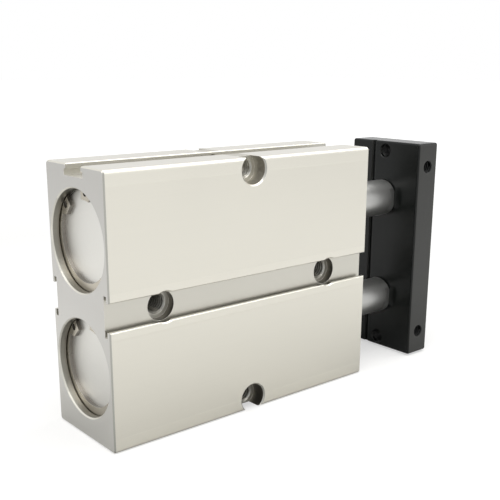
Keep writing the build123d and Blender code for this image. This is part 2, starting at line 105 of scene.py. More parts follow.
class Graph:
    """A node tree that is being built, with short ways to add and join nodes."""

    def __init__(self, tree: bpy.types.NodeTree) -> None:
        """Start on a tree.

        Args:
            tree: The tree that gets the nodes.
        """
        self.tree = tree

    def add(self, kind: str, **settings: object) -> bpy.types.Node:
        """Add one node.

        Args:
            kind: Blender's name of the node type.
            **settings: Properties to set on it.

        Returns:
            The new node.
        """
        node = self.tree.nodes.new(kind)
        for name, value in settings.items():
            setattr(node, name, value)
        return node

    def feed(self, socket: bpy.types.NodeSocket, value: Value) -> None:
        """Give an input its value or its link.

        Args:
            socket: The input.
            value: A constant, or the output that feeds it.
        """
        if isinstance(value, bpy.types.NodeSocket):
            self.tree.links.new(value, socket)
        else:
            socket.default_value = (*value, 1.0) if socket.type == "RGBA" else value

    def math(self, operation: str, *values: Value, clamp: bool = False) -> bpy.types.NodeSocket:
        """Add a math node.

        Args:
            operation: Its operation.
            *values: Its inputs, in order.
            clamp: Whether the result stays between 0 and 1.

        Returns:
            Its output.
        """
        node = self.add("ShaderNodeMath", operation=operation, use_clamp=clamp)
        for socket, value in zip(node.inputs, values):
            self.feed(socket, value)
        return node.outputs[0]

    def apart(self, first: Value, second: Value) -> bpy.types.NodeSocket:
        """Return how far two values lie apart."""
        return self.math("ABSOLUTE", self.math("SUBTRACT", first, second))

    def times(self, first: Value, second: Value) -> bpy.types.NodeSocket:
        """Return the product of two values, which joins two masks."""
        return self.math("MULTIPLY", first, second)

    def over(self, value: Value, limit: Value) -> bpy.types.NodeSocket:
        """Mark where a value is over a limit."""
        return self.math("GREATER_THAN", value, limit)

    def under(self, value: Value, limit: Value) -> bpy.types.NodeSocket:
        """Mark where a value is under a limit."""
        return self.math("LESS_THAN", value, limit)

    def length(self, first: Value, second: Value) -> bpy.types.NodeSocket:
        """Return the length of two sides at a right angle."""
        squares = self.math("ADD", self.times(first, first), self.times(second, second))
        return self.math("SQRT", squares)

    def lean(self) -> tuple[bpy.types.NodeSocket, ...]:
        """Return how far the surface faces along X, Y and Z, either way."""
        facing = self.add("ShaderNodeNewGeometry").outputs["True Normal"]
        return tuple(self.math("ABSOLUTE", part) for part in self.parts_of(facing))

    def blend(self, factor: Value, first: Value, second: Value) -> bpy.types.NodeSocket:
        """Mix two colours.

        Args:
            factor: Share of the second.
            first: Colour at 0.
            second: Colour at 1.

        Returns:
            The mixed colour.
        """
        node = self.add("ShaderNodeMix", data_type="RGBA")
        self.feed(node.inputs[0], factor)
        self.feed(node.inputs[6], first)
        self.feed(node.inputs[7], second)
        return node.outputs[2]

    def spread(
        self, value: Value, low: float, high: float, start: float = 0.0, stop: float = 1.0
    ) -> bpy.types.NodeSocket:
        """Map a value from one range to another, clamped.

        Args:
            value: The value.
            low: Start of its own range.
            high: End of its own range.
            start: Result at low.
            stop: Result at high.

        Returns:
            The mapped value.
        """
        node = self.add("ShaderNodeMapRange", clamp=True)
        for socket, number in zip(node.inputs, (value, low, high, start, stop)):
            self.feed(socket, number)
        return node.outputs[0]

    def place(self) -> bpy.types.NodeSocket:
        """Return the Object coordinates."""
        return self.add("ShaderNodeTexCoord").outputs["Object"]

    def parts_of(self, vector: Value) -> tuple[bpy.types.NodeSocket, ...]:
        """Split a vector.

        Args:
            vector: The vector.

        Returns:
            Its three parts.
        """
        node = self.add("ShaderNodeSeparateXYZ")
        self.feed(node.inputs[0], vector)
        return tuple(node.outputs)

    def scaled(self, vector: Value, scale: Sequence[float]) -> bpy.types.NodeSocket:
        """Stretch a vector.

        Args:
            vector: The vector.
            scale: Factor of each part.

        Returns:
            The stretched vector.
        """
        node = self.add("ShaderNodeVectorMath", operation="MULTIPLY")
        self.feed(node.inputs[0], vector)
        node.inputs[1].default_value = scale
        return node.outputs[0]

    def noise(
        self, vector: Value, scale: Value, detail: float = 2.0, rough: float = 0.5
    ) -> bpy.types.NodeSocket:
        """Sample a noise.

        Args:
            vector: Where it is sampled.
            scale: Its scale.
            detail: Its octaves.
            rough: Weight of the finer octaves.

        Returns:
            A value about 0.5.
        """
        node = self.add("ShaderNodeTexNoise")
        self.feed(node.inputs["Vector"], vector)
        self.feed(node.inputs["Scale"], scale)
        node.inputs["Detail"].default_value = detail
        node.inputs["Roughness"].default_value = rough
        return node.outputs["Fac"]

    def noise_along(self, distance: Value, scale: float, detail: float = 3.0) -> bpy.types.NodeSocket:
        """Sample a noise along one distance, as of lines or rings.

        Args:
            distance: The distance, in metres.
            scale: Lines per metre, roughly.
            detail: Its octaves.

        Returns:
            A value about 0.5.
        """
        node = self.add("ShaderNodeTexNoise", noise_dimensions="1D")
        self.feed(node.inputs["W"], distance)
        node.inputs["Scale"].default_value = scale
        node.inputs["Detail"].default_value = detail
        return node.outputs["Fac"]


class Effect:
    """Base of a shader group that several finishes use."""

    name = "effect"
    inputs: tuple[tuple[str, str, object], ...] = ()
    outputs: tuple[tuple[str, str], ...] = ()

    @classmethod
    def tree(cls) -> bpy.types.NodeTree:
        """Return the group's tree, made on its first use."""
        found = bpy.data.node_groups.get(cls.name)
        if found:
            return found
        tree = bpy.data.node_groups.new(cls.name, "ShaderNodeTree")
        for name, kind, default in cls.inputs:
            socket = tree.interface.new_socket(name=name, in_out="INPUT", socket_type=kind)
            socket.default_value = default
        for name, kind in cls.outputs:
            tree.interface.new_socket(name=name, in_out="OUTPUT", socket_type=kind)
        graph = Graph(tree)
        start = graph.add("NodeGroupInput")
        end = graph.add("NodeGroupOutput")
        cls.fill(graph, start, end)
        return tree

    @classmethod
    def fill(cls, graph: Graph, start: bpy.types.Node, end: bpy.types.Node) -> None:
        """Build the inside of the group.

        Args:
            graph: Its tree.
            start: Its input node.
            end: Its output node.
        """
        raise NotImplementedError

    @classmethod
    def use(cls, graph: Graph, **values: Value) -> bpy.types.Node:
        """Place the group in a material.

        Args:
            graph: The material's tree.
            **values: Values of its inputs, by name.

        Returns:
            The group's node.
        """
        node = graph.add("ShaderNodeGroup", node_tree=cls.tree())
        for name, value in values.items():
            graph.feed(node.inputs[name], value)
        return node


class SoftEdges(Effect):
    """Rounds sharp edges in the shading and marks where they are."""

    name = "soft_edges"
    inputs = (("Radius", "NodeSocketFloat", 0.0002),)
    outputs = (("Normal", "NodeSocketVector"), ("Edge", "NodeSocketFloat"))
    samples = 4
    flat_to_sharp = (0.995, 0.8)

    @classmethod
    def fill(cls, graph: Graph, start: bpy.types.Node, end: bpy.types.Node) -> None:
        """Build the inside of the group.

        Args:
            graph: Its tree.
            start: Its input node.
            end: Its output node.
        """
        rounded = graph.add("ShaderNodeBevel", samples=cls.samples)
        graph.feed(rounded.inputs["Radius"], start.outputs["Radius"])
        plain = graph.add("ShaderNodeNewGeometry")
        turn = graph.add("ShaderNodeVectorMath", operation="DOT_PRODUCT")
        graph.feed(turn.inputs[0], rounded.outputs[0])
        graph.feed(turn.inputs[1], plain.outputs["Normal"])
        graph.feed(end.inputs["Normal"], rounded.outputs[0])
        graph.feed(end.inputs["Edge"], graph.spread(turn.outputs["Value"], *cls.flat_to_sharp))


class DrawnMarks(Effect):
    """Fine marks of an extruded, drawn or brushed face, with larger cloudy tones."""

    name = "drawn_marks"
    inputs = (
        ("Place", "NodeSocketVector", (0.0, 0.0, 0.0)),
        ("Colour", "NodeSocketColor", (0.5, 0.5, 0.5, 1.0)),
        ("Contrast", "NodeSocketFloat", 0.04),
        ("Depth", "NodeSocketFloat", 0.000002),
    )
    outputs = (("Colour", "NodeSocketColor"), ("Height", "NodeSocketFloat"), ("Tone", "NodeSocketFloat"))
    line_share = 0.45
    line_detail = 3.0
    line_rough = 0.6
    cloud_scale = 24.0

    @classmethod
    def fill(cls, graph: Graph, start: bpy.types.Node, end: bpy.types.Node) -> None:
        """Build the inside of the group.

        Args:
            graph: Its tree.
            start: Its input node.
            end: Its output node.
        """
        lines = graph.noise(start.outputs["Place"], 1.0, cls.line_detail, cls.line_rough)
        clouds = graph.noise(graph.place(), cls.cloud_scale)
        tone = graph.math("ADD", graph.times(lines, cls.line_share), graph.times(clouds, 1 - cls.line_share))
        offset = graph.times(graph.math("SUBTRACT", tone, MID_TONE), start.outputs["Contrast"])
        factor = graph.math("ADD", 1.0, graph.times(offset, 2.0))
        tinted = graph.add("ShaderNodeVectorMath", operation="SCALE")
        graph.feed(tinted.inputs[0], start.outputs["Colour"])
        graph.feed(tinted.inputs["Scale"], factor)
        graph.feed(end.inputs["Colour"], tinted.outputs[0])
        graph.feed(end.inputs["Height"], graph.times(lines, start.outputs["Depth"]))
        graph.feed(end.inputs["Tone"], tone)


class TurnedMarks(Effect):
    """Rings and feed lines that a lathe leaves, about the nearer of the two bore axes."""

    name = "turned_marks"
    inputs = (
        ("Middle", "NodeSocketFloat", 0.049),
        ("Offset", "NodeSocketFloat", 0.023),
        ("Pitch", "NodeSocketFloat", 0.0003),
        ("Depth", "NodeSocketFloat", 0.000003),
    )
    outputs = (("Height", "NodeSocketFloat"), ("Tone", "NodeSocketFloat"), ("Distance", "NodeSocketFloat"))
    wave_share = 0.35
    uneven_scale = 2600.0
    tone_scale = 700.0

    @classmethod
    def fill(cls, graph: Graph, start: bpy.types.Node, end: bpy.types.Node) -> None:
        """Build the inside of the group.

        Args:
            graph: Its tree.
            start: Its input node.
            end: Its output node.
        """
        x, y, z = graph.parts_of(graph.place())
        level = graph.apart(z, start.outputs["Middle"])
        distance = graph.length(y, graph.math("SUBTRACT", level, start.outputs["Offset"]))
        feed = graph.math("ADD", distance, x)
        turns = graph.math("DIVIDE", feed, start.outputs["Pitch"])
        wave = graph.math("SINE", graph.times(turns, 2 * math.pi))
        uneven = graph.noise_along(feed, cls.uneven_scale)
        height = graph.math("ADD", graph.times(wave, cls.wave_share), uneven)
        graph.feed(end.inputs["Height"], graph.times(height, start.outputs["Depth"]))
        graph.feed(end.inputs["Tone"], graph.noise_along(feed, cls.tone_scale))
        graph.feed(end.inputs["Distance"], distance)


class FineGrain(Effect):
    """Even fine grain, as of blasted, moulded or sintered stuff."""

    name = "fine_grain"
    inputs = (("Scale", "NodeSocketFloat", 2000.0), ("Depth", "NodeSocketFloat", 0.000004))
    outputs = (("Height", "NodeSocketFloat"), ("Tone", "NodeSocketFloat"))
    cloud_scale = 45.0
    detail = 3.0

    @classmethod
    def fill(cls, graph: Graph, start: bpy.types.Node, end: bpy.types.Node) -> None:
        """Build the inside of the group.

        Args:
            graph: Its tree.
            start: Its input node.
            end: Its output node.
        """
        grain = graph.noise(graph.place(), start.outputs["Scale"], cls.detail)
        clouds = graph.noise(graph.place(), cls.cloud_scale, cls.detail)
        graph.feed(end.inputs["Height"], graph.times(grain, start.outputs["Depth"]))
        graph.feed(end.inputs["Tone"], clouds)


# ---------------------------------------------------------------- finishes


@dataclass(frozen=True)
class Finish:
    """What every finish has: a colour, a roughness and how metallic it is."""

    name: str
    colour: Colour
    roughness: float
    metallic: float = 0.0
    specular: float = 0.5
    edge_radius: float = 0.2
    # Painted highlight along sharp edges: its colour and the share of it that edges get.
    edge_highlight_colour: Colour = (0.8, 0.8, 0.78)
    edge_highlight_strength: float = 0.0
    swing: float = 0.04
    tone_range: tuple[float, float] = (0.25, 0.75)

    def material(self) -> bpy.types.Material:
        """Return the material of this finish, made on its first use."""
        found = bpy.data.materials.get(self.name)
        if found:
            return found
        made = bpy.data.materials.new(self.name)
        made.use_nodes = True
        graph = Graph(made.node_tree)
        shader = made.node_tree.nodes["Principled BSDF"]
        shader.inputs["Metallic"].default_value = self.metallic
        shader.inputs["Specular IOR Level"].default_value = self.specular
        colour, roughness, height = self.surface(graph)
        soft = SoftEdges.use(graph, Radius=self.edge_radius * MM)
        # Painted highlight: sharp edges are blended towards a lighter colour, as where edges catch the
        # light.
        if self.edge_highlight_strength:
            share = graph.times(soft.outputs["Edge"], self.edge_highlight_strength)
            colour = graph.blend(share, colour, self.edge_highlight_colour)
        relief = graph.add("ShaderNodeBump")
        relief.inputs["Strength"].default_value = 1.0
        relief.inputs["Distance"].default_value = 1.0
        graph.feed(relief.inputs["Height"], height)
        graph.feed(relief.inputs["Normal"], soft.outputs["Normal"])
        graph.feed(shader.inputs["Base Color"], colour)
        graph.feed(shader.inputs["Roughness"], roughness)
        graph.feed(shader.inputs["Normal"], relief.outputs["Normal"])
        return made

    def surface(self, graph: Graph) -> tuple[Value, Value, Value]:
        """Build what varies over the surface.

        Args:
            graph: The material's tree.

        Returns:
            Its colour, roughness and height.
        """
        raise NotImplementedError

    def rough(self, graph: Graph, tone: Value) -> bpy.types.NodeSocket:
        """Return the roughness, varied with a tone about 0.5."""
        low, high = self.roughness - self.swing, self.roughness + self.swing
        return graph.spread(tone, *self.tone_range, low, high)


@dataclass(frozen=True)
class DrawnFinish(Finish):
    """Extruded, drawn or brushed metal with marks that run one way."""

    grain: Grain = Grain.ALONG_X
    contrast: float = 0.03
    depth: float = 0.0012

    def surface(self, graph: Graph) -> tuple[Value, Value, Value]:
        """Build what varies over the surface.

        Args:
            graph: The material's tree.

        Returns:
            Its colour, roughness and height.
        """
        marks = DrawnMarks.use(
            graph,
            Place=graph.scaled(graph.place(), self.grain.value),
            Colour=self.colour,
            Contrast=self.contrast,
            Depth=self.depth * MM,
        )
        roughness = self.rough(graph, marks.outputs["Tone"])
        return marks.outputs["Colour"], roughness, marks.outputs["Height"]


@dataclass(frozen=True)
class BlockFinish(DrawnFinish):
    """Clear anodised block: drawn faces with faint raised bands painted lighter as a sheen, turned recesses,
    and painted shade and light on its sides, ends, chamfers, recesses and counterbores.
    """

    half_thickness: float = 19.75
    height: float = 98.0
    skin: float = 0.1
    bands: tuple[float, float] = (5.2, 40.9)
    step_blur: float = 0.2
    band_depth: float = 0.03
    # Painted sheen: tone and share by which the raised bands are painted lighter.
    band_sheen_tone: float = 0.035
    band_sheen_share: float = 0.6
    slot_lip: float = 1.6
    ring_pitch: float = 0.25
    ring_depth: float = 0.0015
    recess_radius: float = 18.05
    groove_radius: float = 18.95
    mouth_depth: float = 1.0
    half_length: float = 61.95
    centre_x: float = -22.65
    # Painted shade in the turned recesses and their grooves.
    recess_shade_colour: Colour = (0.34, 0.33, 0.30)
    # Painted shade on the ends, with painted light towards their bottom between the two heights.
    end_shade_colour: Colour = (0.58, 0.57, 0.545)
    end_low_lit_colour: Colour = (0.70, 0.69, 0.655)
    end_light_levels: tuple[float, float] = (50.0, 8.0)
    # Painted shade on the narrow top and bottom sides and on the slot floors.
    top_shade_colour: Colour = (0.62, 0.605, 0.56)
    slot_shade_colour: Colour = (0.60, 0.585, 0.53)
    # Painted shade on the counterbore walls, with painted light in the upper ones between the two heights.
    pocket_shade_colour: Colour = (0.17, 0.16, 0.14)
    lit_pocket_colour: Colour = (0.44, 0.42, 0.37)
    lit_levels: tuple[float, float] = (60.0, 90.0)
    pocket_radius: float = 5.7
    # Painted shade on the end chamfers of the wide faces.
    chamfer_shade_colour: Colour = (0.34, 0.34, 0.32)
    chamfer_shade_share: float = 0.8

    def surface(self, graph: Graph) -> tuple[Value, Value, Value]:
        """Build what varies over the surface.

        Args:
            graph: The material's tree.

        Returns:
            Its colour, roughness and height.
        """
        colour, roughness, height = super().surface(graph)
        turned = TurnedMarks.use(graph, Pitch=self.ring_pitch * MM, Depth=self.ring_depth * MM)
        distance = turned.outputs["Distance"]
        x, y, z = graph.parts_of(graph.place())
        lean = graph.lean()
        band = self.on_bands(graph, y, z)
        # Painted sheen: the raised bands are painted lighter.
        lighter = tuple(min(part * (1 + self.band_sheen_tone), 1.0) for part in self.colour)
        colour = graph.blend(graph.times(band, self.band_sheen_share), colour, lighter)
        # Painted shade on the narrow sides, the slot floors and the ends, with painted light low on the
        # ends.
        colour = self.paint_side_shade(graph, colour, y, z, lean)
        # Painted shade on the chamfers.
        chamfer = graph.times(self.on_chamfer(graph, lean, distance), self.chamfer_shade_share)
        colour = graph.blend(chamfer, colour, self.chamfer_shade_colour)
        # Painted shade in the recesses; their turned rings are real relief.
        inside = self.in_recess(graph, x, distance)
        colour = graph.blend(inside, colour, self.recess_shade_colour)
        # Painted shade and light on the counterbore walls.
        colour = self.paint_pocket_shade(graph, colour, x, z, lean)
        height = graph.math("ADD", height, graph.times(band, self.band_depth * MM))
        return colour, roughness, graph.math("ADD", height, graph.times(turned.outputs["Height"], inside))

    def on_bands(self, graph: Graph, y: Value, z: Value) -> bpy.types.NodeSocket:
        """Mark the raised bands of the wide faces, along their edges and their slot.

        Args:
            graph: The material's tree.
            y: Place across the block, in metres.
            z: Height, in metres.

        Returns:
            The mask.
        """
        on_face = graph.over(graph.math("ABSOLUTE", y), (self.half_thickness - self.skin) * MM)
        level = graph.apart(z, self.height / 2 * MM)
        edge, slot = (self.height / 2 - band for band in self.bands)
        edge_step = graph.spread(level, (edge - self.step_blur) * MM, (edge + self.step_blur) * MM)
        slot_step = graph.spread(level, (slot + self.step_blur) * MM, (slot - self.step_blur) * MM)
        return graph.times(graph.math("ADD", edge_step, slot_step), on_face)

    def paint_side_shade(
        self, graph: Graph, colour: Value, y: Value, z: Value, lean: Sequence[Value]
    ) -> bpy.types.NodeSocket:
        """Paint shade on the slot floors, the narrow sides and the ends, and light on the ends towards their
        bottom.

        Args:
            graph: The material's tree.
            colour: The colour so far.
            y: Place across the block, in metres.
            z: Height, in metres.
            lean: How far the surface faces along each axis.

        Returns:
            The colour with the painted shade and light.
        """
        ahead, aside, upward = lean
        lip = (self.half_thickness - self.slot_lip) * MM
        outside = graph.over(graph.math("ABSOLUTE", y), lip)
        in_slot = graph.times(graph.math("SUBTRACT", 1.0, outside), graph.over(aside, LEANS))
        colour = graph.blend(in_slot, colour, self.slot_shade_colour)
        colour = graph.blend(graph.spread(upward, *SQUARELY), colour, self.top_shade_colour)
        low = graph.spread(z, *(level * MM for level in self.end_light_levels))
        end_tone = graph.blend(low, self.end_shade_colour, self.end_low_lit_colour)
        return graph.blend(graph.spread(ahead, *SQUARELY), colour, end_tone)

    def on_chamfer(self, graph: Graph, lean: Sequence[Value], distance: Value) -> bpy.types.NodeSocket:
        """Mark the chamfers between the ends and the wide faces.

        Args:
            graph: The material's tree.
            lean: How far the surface faces along each axis.
            distance: Distance from the nearer bore axis, in metres.

        Returns:
            The mask.
        """
        ahead, aside, _ = lean
        slanted = graph.times(graph.over(ahead, LEANS), graph.over(aside, LEANS))
        return graph.times(slanted, graph.over(distance, self.groove_radius * MM))

    def in_recess(self, graph: Graph, x: Value, distance: Value) -> bpy.types.NodeSocket:
        """Mark the turned recesses and bores, with their grooves.

        Args:
            graph: The material's tree.
            x: Place along the block, in metres.
            distance: Distance from the nearer bore axis, in metres.

        Returns:
            The mask.
        """
        mouth = (self.half_length - self.mouth_depth) * MM
        past_mouth = graph.under(graph.apart(x, self.centre_x * MM), mouth)
        reach = graph.spread(past_mouth, 0.0, 1.0, self.recess_radius * MM, self.groove_radius * MM)
        return graph.under(distance, reach)

    def paint_pocket_shade(
        self, graph: Graph, colour: Value, x: Value, z: Value, lean: Sequence[Value]
    ) -> bpy.types.NodeSocket:
        """Paint shade on the walls of the counterbores, with painted light in the upper ones.

        Args:
            graph: The material's tree.
            colour: The colour so far.
            x: Place along the block, in metres.
            z: Height, in metres.
            lean: How far the surface faces along each axis.

        Returns:
            The colour with the painted shade and light.
        """
        near_hole = graph.under(self.from_holes(graph, x, z), self.pocket_radius * MM)
        in_pocket = graph.times(near_hole, graph.under(lean[1], LEANS))
        lit = graph.spread(z, *(level * MM for level in self.lit_levels))
        tone = graph.blend(lit, self.pocket_shade_colour, self.lit_pocket_colour)
        return graph.blend(in_pocket, colour, tone)

    def from_holes(self, graph: Graph, x: Value, z: Value) -> bpy.types.NodeSocket:
        """Measure how far a place is from the axis of the nearest hole across the block.

        Args:
            graph: The material's tree.
            x: Its place along the block, in metres.
            z: Its height, in metres.

        Returns:
            The distance, in metres.
        """
        (centre_x, centre_z), reach, rise = across_holes()
        along = graph.apart(x, centre_x)
        level = graph.apart(z, centre_z)
        to_side = graph.length(graph.math("SUBTRACT", along, reach), level)
        to_edge = graph.length(along, graph.math("SUBTRACT", level, rise))
        return graph.math("MINIMUM", to_side, to_edge)


@dataclass(frozen=True)
class PlateFinish(DrawnFinish):
    """Black anodised plate, its narrow sides painted lighter than its faces, as if lit."""

    # Painted light: the narrow sides are painted lighter, as if lit.
    side_lit_colour: Colour = (0.060, 0.061, 0.058)
    side_lean: tuple[float, float] = (0.85, 0.95)

    def surface(self, graph: Graph) -> tuple[Value, Value, Value]:
        """Build what varies over the surface.

        Args:
            graph: The material's tree.

        Returns:
            Its colour, roughness and height.
        """
        colour, roughness, height = super().surface(graph)
        _, aside, _ = graph.lean()
        on_side = graph.spread(aside, *self.side_lean)
        # Painted light on the narrow sides.
        return graph.blend(on_side, colour, self.side_lit_colour), roughness, height


@dataclass(frozen=True)
class TurnedFinish(Finish):
    """Metal or plastic that was turned or ground about a bore axis."""

    swing: float = 0.03
    pitch: float = 0.3
    depth: float = 0.003
    contrast: float = 0.06

    def surface(self, graph: Graph) -> tuple[Value, Value, Value]:
        """Build what varies over the surface.

        Args:
            graph: The material's tree.

        Returns:
            Its colour, roughness and height.
        """
        turned = TurnedMarks.use(graph, Pitch=self.pitch * MM, Depth=self.depth * MM)
        darker = tuple(part * (1 - self.contrast) for part in self.colour)
        colour = graph.blend(turned.outputs["Tone"], darker, self.colour)
        return colour, self.rough(graph, turned.outputs["Tone"]), turned.outputs["Height"]


@dataclass(frozen=True)
class GrainedFinish(Finish):
    """Stuff with an even grain: rubber, plastic, sintered or blackened metal."""

    swing: float = 0.05
    grain_scale: float = 2200.0
    depth: float = 0.004
    contrast: float = 0.15

    def surface(self, graph: Graph) -> tuple[Value, Value, Value]:
        """Build what varies over the surface.

        Args:
            graph: The material's tree.

        Returns:
            Its colour, roughness and height.
        """
        grain = FineGrain.use(graph, Scale=self.grain_scale, Depth=self.depth * MM)
        darker = tuple(part * (1 - self.contrast) for part in self.colour)
        colour = graph.blend(grain.outputs["Tone"], darker, self.colour)
        return colour, self.rough(graph, grain.outputs["Tone"]), grain.outputs["Height"]


@dataclass(frozen=True)
class StampedFinish(GrainedFinish):
    """Spring steel stamped from sheet: its faces across X are bright, its cut edges painted dark as shade.
    """

    # Painted shade on the cut edges.
    cut_shade_colour: Colour = (0.24, 0.225, 0.205)

    def surface(self, graph: Graph) -> tuple[Value, Value, Value]:
        """Build what varies over the surface.

        Args:
            graph: The material's tree.

        Returns:
            Its colour, roughness and height.
        """
        colour, roughness, height = super().surface(graph)
        ahead, _, _ = graph.lean()
        on_cut = graph.under(ahead, LEANS)
        # Painted shade on the cut edges.
        return graph.blend(on_cut, colour, self.cut_shade_colour), roughness, height


FINISHES: dict[str, Finish] = {
    "body_aluminium": BlockFinish(
        "anodised_block", (0.72, 0.70, 0.63), 0.40, metallic=1.0, edge_radius=0.22,
        edge_highlight_colour=(0.86, 0.85, 0.80), edge_highlight_strength=0.5,
    ),
    "cover_aluminium": TurnedFinish(
        "turned_cover", (0.80, 0.79, 0.75), 0.40, metallic=1.0, pitch=0.22, depth=0.006
    ),
    "guide_aluminium": TurnedFinish("turned_guide", (0.62, 0.60, 0.56), 0.34, metallic=1.0, pitch=0.3),
    "piston_aluminium": TurnedFinish("turned_piston", (0.72, 0.72, 0.71), 0.32, metallic=1.0, pitch=0.4),
    "plate_black": PlateFinish(
        "black_anodised_plate", (0.007, 0.0085, 0.008), 0.24, specular=0.26, grain=Grain.UPRIGHT,
        contrast=0.12, depth=0.0015, edge_radius=0.3, edge_highlight_colour=(0.12, 0.12, 0.115), edge_highlight_strength=0.5,
    ),
    "rod_chrome": TurnedFinish(
        "ground_chrome", (0.57, 0.57, 0.555), 0.34, metallic=0.9, pitch=0.18, depth=0.0012
    ),
    "ring_steel": StampedFinish(
        "spring_steel", (0.56, 0.52, 0.44), 0.27, metallic=1.0, depth=0.002, edge_highlight_colour=(0.8, 0.77, 0.7),
        edge_highlight_strength=0.4, edge_radius=0.15,
    ),
    "screw_steel": GrainedFinish("blackened_steel", (0.07, 0.07, 0.075), 0.38, metallic=0.6, depth=0.002),
    "seal_rubber": GrainedFinish("nitrile_rubber", (0.028, 0.028, 0.028), 0.55, depth=0.006),
    "bumper_rubber": GrainedFinish("polyurethane", (0.12, 0.10, 0.075), 0.45, depth=0.004),
    "bush_bronze": GrainedFinish("sintered_bronze", (0.55, 0.38, 0.20), 0.45, metallic=1.0, depth=0.008),
    "wear_plastic": GrainedFinish("natural_acetal", (0.66, 0.63, 0.54), 0.4, depth=0.003),
    "magnet_dark": GrainedFinish("bonded_ferrite", (0.09, 0.09, 0.10), 0.5, depth=0.008),
}


# ---------------------------------------------------------------- work on meshes


class Bench:
    """Modelling by operators, as by hand, on one object at a time."""

    @staticmethod
    def clear() -> None:
        """Leave nothing selected and nothing active."""
        bpy.ops.object.select_all(action="DESELECT")
        bpy.context.view_layer.objects.active = None

    @staticmethod
    def take(piece: bpy.types.Object) -> None:
        """Select one object alone.

        Args:
            piece: The object.
        """
        Bench.clear()
        piece.select_set(True)
        bpy.context.view_layer.objects.active = piece

    @staticmethod
    def mark(piece: bpy.types.Object, wanted: Callable[[Vector], bool]) -> None:
        """Select vertices by their place, and end in edit mode.

        Args:
            piece: The object.
            wanted: Says of a place whether its vertex is selected.
        """
        bpy.ops.object.mode_set(mode="EDIT")
        bpy.ops.mesh.select_mode(type="VERT")
        bpy.ops.mesh.select_all(action="DESELECT")
        bpy.ops.object.mode_set(mode="OBJECT")
        for vertex in piece.data.vertices:
            vertex.select = wanted(vertex.co)
        bpy.ops.object.mode_set(mode="EDIT")

    @staticmethod
    def put(piece: bpy.types.Object, matrix: Matrix) -> None:
        """Bring an object to its place, and leave that place in its mesh.

        Args:
            piece: The object.
            matrix: Its place.
        """
        Bench.take(piece)
        piece.matrix_world = matrix
        bpy.ops.object.transform_apply(location=True, rotation=True, scale=True)

    @staticmethod
    def smooth(piece: bpy.types.Object, degrees: float) -> None:
        """Shade an object smooth, but for its edges sharper than an angle."""
        Bench.take(piece)
        bpy.ops.object.shade_smooth_by_angle(angle=math.radians(degrees))

    @staticmethod
    def copy(piece: bpy.types.Object, name: str) -> bpy.types.Object:
        """Copy an object with a mesh of its own.

        Args:
            piece: The object.
            name: Name of the copy.

        Returns:
            The copy.
        """
        Bench.take(piece)
        bpy.ops.object.duplicate(linked=False)
        made = bpy.context.view_layer.objects.active
        made.name = made.data.name = name
        return made


def dress(piece: bpy.types.Object, slot: str) -> None:
    """Give a new piece its finish.

    Args:
        piece: The piece.
        slot: The record's material slot.
    """
    piece.data.materials.clear()
    piece.data.materials.append(FINISHES[slot].material())


def mount(name: str) -> dict:
    """Return the record's mount of that name."""
    return next(item for item in frame["record"]["mounts"] if item["name"] == name)


def across_holes() -> tuple[tuple[float, float], float, float]:
    """Find the holes across the body.

    Returns:
        The x and z of their middle, then how far from it the side holes lie along X and the edge holes
        along Z, all in metres.
    """
    side = mount("body_side_holes")
    edge = mount("body_edge_holes")
    x, _, z = side["pos_m"]
    return (x, z), side["dims"]["spacing_x_mm"] / 2 * MM, edge["dims"]["spacing_y_mm"] / 2 * MM


